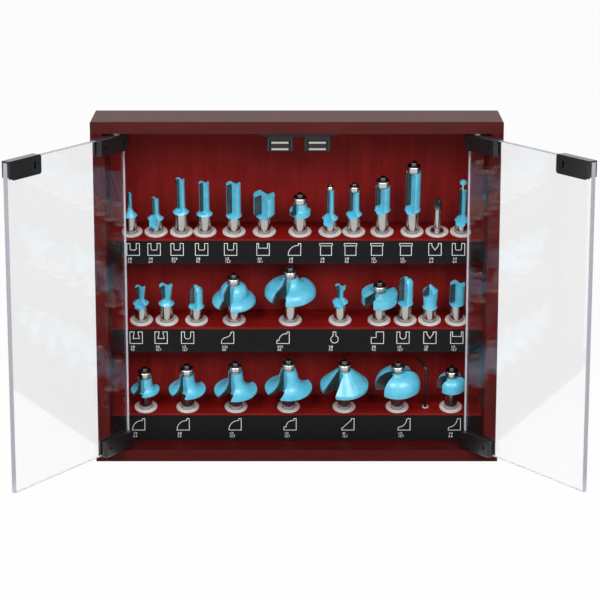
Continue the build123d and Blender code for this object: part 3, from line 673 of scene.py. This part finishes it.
# ---------------------------------------------------------------- latch plungers and panes
def split(name, body, materials, choose, bevel=0.0):
    """Copy of a node whose islands or faces get different materials."""
    bm = cad_copy(name)
    bm.normal_update()
    for group in islands(bm):
        for face in group:
            face.material_index = choose(group, face)
    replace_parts(add(name + "_dressed", bm, materials, body, None, 0 if "pane" in name else 30, bevel), name)


for side in ("left", "right"):
    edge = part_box(side + "_plunger")[0][1] + 0.0005
    split(side + "_plunger", side + "_plunger", [LATCH_PLASTIC, BRIGHT_STEEL],
          lambda group, face: int(min(v.co.y for v in face.verts) < edge), 0.15)


def pane_faces(group, face):
    """0 on the two large faces, 1 on the polished edges."""
    return 0 if face.calc_area() > 0.01 else 1


for side in ("left", "right"):
    split(side + "_pane", side + "_door", [PANE, PANE_EDGE], pane_faces)


# ---------------------------------------------------------------- printed labels
SLOT = [(-5.9, -5.7), (5.9, -5.7), (5.9, 5.7), (2.9, 5.7), (2.9, 0.4), (2.1, -0.6), (-2.1, -0.6), (-2.9, 0.4),
        (-2.9, 5.7), (-5.9, 5.7)]
TRIM = [(-5.2, -5.7), (5.2, -5.7), (5.2, 3.2), (5.9, 3.9), (5.9, 5.7), (-5.9, 5.7), (-5.9, 3.9), (-5.2, 3.2)]
DOVE = [(-5.9, -5.7), (5.9, -5.7), (5.9, 5.7), (1.7, 5.7), (3.0, -0.8), (-3.0, -0.8), (-1.7, 5.7), (-5.9, 5.7)]
VEE = [(-5.9, -5.7), (5.9, -5.7), (5.9, 5.7), (3.0, 5.7), (3.0, 3.6), (0, -0.6), (-3.0, 3.6), (-3.0, 5.7),
       (-5.9, 5.7)]
WIDE = [(-5.9, -5.7), (5.9, -5.7), (5.9, 5.7), (4.2, 5.7), (4.2, 1.2), (-4.2, 1.2), (-4.2, 5.7), (-5.9, 5.7)]
CHAMFER = [(-5.9, -5.7), (5.9, -5.7), (5.9, 5.7), (3.3, 5.7), (3.3, 4.4), (-5.9, -4.2)]
RABBET = [(-5.9, -5.7), (5.9, -5.7), (5.9, 5.7), (-1.2, 5.7), (-1.2, 0.2), (-5.9, 0.2)]


PRINT_PROUD = 0.05        # the print stands this far in front of the label strip


def curve(centre, radius, first, last, steps=9):
    """Points along an arc, angles in degrees."""
    return [(centre[0] + radius * cos(radians(first + (last - first) * i / steps)),
             centre[1] + radius * sin(radians(first + (last - first) * i / steps))) for i in range(steps + 1)]


ROUND = [(-5.9, -5.7), (5.9, -5.7), (5.9, 5.7), (3.6, 5.7), (3.6, 4.0), *curve((3.2, -5.3), 9.1, 90, 180)]
BEAD = [(-5.9, -5.7), (5.9, -5.7), (5.9, 5.7), (3.8, 5.7), (3.8, 4.3), *curve((2.6, -2.6), 6.4, 90, 180),
        (-5.9, -2.6)]
COVE = [(-5.9, -5.7), (5.9, -5.7), (5.9, 5.7), (3.4, 5.7), *curve((-5.9, 5.7), 8.6, -5, -85)]
OGEE = [(-5.9, -5.7), (5.9, -5.7), (5.9, 5.7), (3.6, 5.7), (3.6, 4.6), *curve((-1.0, 4.6), 3.9, 0, -80, 6),
        *curve((-1.6, -4.2), 4.2, 100, 180, 6)]
NOSE = [(-5.9, -5.7), (5.9, -5.7), (5.9, 5.7), (2.9, 5.7), *curve((0, 1.6), 2.9, 0, -180, 10), (-2.9, 5.7),
        (-5.9, 5.7)]
KEYHOLE = [(-1.3, 5.7), *curve((0, -1.6), 3.6, 111, 429, 16), (1.3, 5.7)]

PICTOGRAM_DROP = (8.0, 8.0, 8.8)      # from a strip's top edge to its pictograms' middle
NUMBER_SIZE = 3.1

# Each row: (pictogram, its x, the size in inches, the same in millimetres)
PRINTS = (
    ((SLOT, -154.2, "1/8", "3.2"), (SLOT, -134.5, "1/4", "6.4"), (SLOT, -112.8, "5/16", "7.9"),
     (SLOT, -89.7, "3/8", "9.5"), (SLOT, -62.4, "1/2", "12.7"), (WIDE, -31.8, "3/4", "19.1"),
     (ROUND, -2.2, "1/8", "3.2"), (TRIM, 27.5, "1/4", "6.4"), (TRIM, 50.6, "3/8", "9.5"),
     (TRIM, 75.5, "1/2", "12.7"), (TRIM, 102.8, "1/2", "12.7"), (VEE, 130.2, "1/4", "6.4"),
     (SLOT, 152.3, "1/4", "6.4")),
    ((DOVE, -152.7, "3/8", "9.5"), (DOVE, -129.0, "1/2", "12.7"), (NOSE, -103.8, "1/2", "12.7"),
     (OGEE, -65.8, "5/32", "4.0"), (BEAD, -13.1, "5/32", "4.0"), (KEYHOLE, 35.8, "3/8", "9.5"),
     (RABBET, 76.6, "3/8", "9.5"), (NOSE, 100.9, "1/2", "12.7"), (VEE, 126.5, "1/2", "90"),
     (WIDE, 152.1, "1/2", "12.7")),
    ((ROUND, -151.6, "1/4", "6.4"), (ROUND, -109.0, "3/8", "9.5"), (ROUND, -59.2, "1/2", "12.7"),
     (BEAD, -6.5, "1/2", "12.7"), (CHAMFER, 49.0, "45", "12.7"), (COVE, 102.7, "1/2", "12.7"),
     (COVE, 151.0, "1/4", "6.4")),
)


def ribbon(bm, points, at, width=0.55, closed=True):
    """Flat line of even width along points, in millimetres, facing the front."""
    count = len(points)
    sides = []
    for i, point in enumerate(points):
        before = points[i - 1] if closed or i else point
        after = points[(i + 1) % count] if closed or i < count - 1 else point
        a = Vector((point[0] - before[0], point[1] - before[1]))
        b = Vector((after[0] - point[0], after[1] - point[1]))
        a = a.normalized() if a.length else b.normalized()
        b = b.normalized() if b.length else a
        normal = (Vector((-a.y, a.x)) + Vector((-b.y, b.x)))
        normal = normal.normalized() if normal.length > 1e-6 else Vector((-a.y, a.x))
        reach = width / 2 / max(0.5, normal.dot(Vector((-a.y, a.x))))
        middle = (at[0] + point[0], at[1] + point[1])
        sides.append([bm.verts.new(((middle[0] + s * normal.x * reach) * MM, (LABEL_Y - PRINT_PROUD) * MM,
                                    (middle[1] + s * normal.y * reach) * MM)) for s in (-1, 1)])
    for i in range(count if closed else count - 1):
        j = (i + 1) % count
        bm.faces.new((sides[i][0], sides[j][0], sides[j][1], sides[i][1]))


def words(bm, text, x, z, size):
    """Plain number, left aligned, as a flat mesh on the label's face."""
    data = bpy.data.curves.new("number", "FONT")
    data.body = text
    data.size = size * MM
    data.offset = 0.03 * MM
    data.resolution_u = 3
    obj = bpy.data.objects.new("number", data)
    bpy.context.scene.collection.objects.link(obj)
    bpy.context.view_layer.update()
    mesh = bpy.data.meshes.new_from_object(obj.evaluated_get(bpy.context.evaluated_depsgraph_get()))
    place = Matrix.Translation((x * MM, (LABEL_Y - PRINT_PROUD) * MM, z * MM))
    mesh.transform(place @ Matrix.Rotation(pi / 2, 4, "X"))
    bm.from_mesh(mesh)
    bpy.data.objects.remove(obj)
    bpy.data.curves.remove(data)
    bpy.data.meshes.remove(mesh)


for row, prints in enumerate(PRINTS):
    bm = bmesh.new()
    middle = EDGE_Z[row] - LABEL_EDGE_GAP - PICTOGRAM_DROP[row]
    for outline, x, inches, millimetres in prints:
        ribbon(bm, outline, (x, middle))
        if outline is TRIM:
            ribbon(bm, [(-5.9, 3.4), (5.9, 3.4)], (x, middle), closed=False)
        words(bm, inches, x - 5.4, middle - 10.0, NUMBER_SIZE)
        words(bm, millimetres, x - 5.4, middle - 12.9, NUMBER_SIZE)
    add(SHELVES[row] + "_label_print", bm, [PRINT], "cabinet", smooth=0)


# ---------------------------------------------------------------- floor, light and camera
def white_stage():
    """Floor and backdrop that show as plain white and take the object's soft shadow."""
    s = Shader("floor_white")
    s.set(Base_Color=(0.8, 0.8, 0.8, 1), Roughness=0.9, Specular_IOR_Level=0.1)
    glow = s.tree.nodes.new("ShaderNodeEmission")
    path = s.tree.nodes.new("ShaderNodeLightPath")
    fine = s.noise(3, 2)
    tint = s.ramp(fine, (0.0, (0.99, 0.99, 0.99)), (1.0, (1, 1, 1)))
    s.link(tint, glow.inputs["Color"])
    seen = s.tree.nodes.new("ShaderNodeMath")
    seen.operation = "MAXIMUM"
    s.link(path.outputs["Is Camera Ray"], seen.inputs[0])
    s.link(path.outputs["Is Transmission Ray"], seen.inputs[1])
    shown = s.tree.nodes.new("ShaderNodeMath")
    shown.operation = "MAXIMUM"
    s.link(seen.outputs["Value"], shown.inputs[0])
    s.link(path.outputs["Is Glossy Ray"], shown.inputs[1])
    part = s.tree.nodes.new("ShaderNodeMath")
    part.operation = "MULTIPLY"
    part.inputs[1].default_value = 0.96
    s.link(shown.outputs["Value"], part.inputs[0])
    mixed = s.tree.nodes.new("ShaderNodeMixShader")
    s.link(part.outputs["Value"], mixed.inputs["Fac"])
    s.link(s.bsdf.outputs["BSDF"], mixed.inputs[1])
    s.link(glow.outputs["Emission"], mixed.inputs[2])
    s.link(mixed.outputs["Shader"], s.output.inputs["Surface"])
    bm = bmesh.new()
    bmesh.ops.create_grid(bm, x_segments=2, y_segments=2, size=6.0)
    mesh = bpy.data.meshes.new("floor")
    bm.to_mesh(mesh)
    bm.free()
    floor = bpy.data.objects.new("floor", mesh)
    mesh.materials.append(s.material)
    floor.location.z = -0.0004
    bpy.context.scene.collection.objects.link(floor)


white_stage()

# Soft studio: the world's diffuse light is dim in front and bright behind, and the camera, glass and
# gloss see plain white
ROOM_FRONT, ROOM_BACK = 0.12, 0.9
world = bpy.data.worlds.new("studio")
bpy.context.scene.world = world
world.use_nodes = True
tree = world.node_tree
room = tree.nodes["Background"]
room.inputs["Strength"].default_value = 1.0
white = tree.nodes.new("ShaderNodeBackground")
white.inputs["Color"].default_value = (1, 1, 1, 1)
white.inputs["Strength"].default_value = 1.0
direction = tree.nodes.new("ShaderNodeTexCoord")
parts = tree.nodes.new("ShaderNodeSeparateXYZ")
depth = tree.nodes.new("ShaderNodeMapRange")
depth.interpolation_type = "SMOOTHSTEP"
depth.inputs["From Min"].default_value = -0.5
depth.inputs["From Max"].default_value = 0.7
depth.inputs["To Min"].default_value = ROOM_FRONT
depth.inputs["To Max"].default_value = ROOM_BACK
tree.links.new(direction.outputs["Generated"], parts.inputs["Vector"])
tree.links.new(parts.outputs["Y"], depth.inputs["Value"])
tree.links.new(depth.outputs["Result"], room.inputs["Color"])
path = tree.nodes.new("ShaderNodeLightPath")
seen = tree.nodes.new("ShaderNodeMath")
seen.operation = "MAXIMUM"
shown = tree.nodes.new("ShaderNodeMath")
shown.operation = "MAXIMUM"
mixed = tree.nodes.new("ShaderNodeMixShader")
tree.links.new(path.outputs["Is Camera Ray"], seen.inputs[0])
tree.links.new(path.outputs["Is Transmission Ray"], seen.inputs[1])
tree.links.new(seen.outputs["Value"], shown.inputs[0])
tree.links.new(path.outputs["Is Glossy Ray"], shown.inputs[1])
tree.links.new(shown.outputs["Value"], mixed.inputs["Fac"])
tree.links.new(room.outputs["Background"], mixed.inputs[1])
tree.links.new(white.outputs["Background"], mixed.inputs[2])
tree.links.new(mixed.outputs["Shader"], tree.nodes["World Output"].inputs["Surface"])


def lamp(name, place, target, size, power):
    data = bpy.data.lights.new(name, "AREA")
    data.shape = "RECTANGLE"
    data.size, data.size_y = size
    data.energy = power
    obj = bpy.data.objects.new(name, data)
    obj.location = place
    obj.rotation_euler = (Vector(target) - Vector(place)).to_track_quat("-Z", "Y").to_euler()
    bpy.context.scene.collection.objects.link(obj)


lamp("key", (-0.85, -1.85, 1.5), (0, 0, 0.15), (1.1, 1.2), 34)
lamp("fill", (0.85, -1.85, 1.4), (0, 0, 0.15), (1.1, 1.2), 29)

CAMERA_PLACE, CAMERA_DIP = (0, -2.2564, 0.6966), 13.63      # metres, and degrees below level
camera = bpy.data.objects.new("camera", bpy.data.cameras.new("camera"))
camera.data.sensor_width = 36
camera.data.lens = 147.06
camera.data.shift_x = 0.0053
camera.location = CAMERA_PLACE
camera.rotation_euler = (radians(90 - CAMERA_DIP), 0, 0)
bpy.context.scene.collection.objects.link(camera)
bpy.context.scene.camera = camera

bpy.context.scene.view_settings.view_transform = "Standard"

bpy.context.view_layer.update()
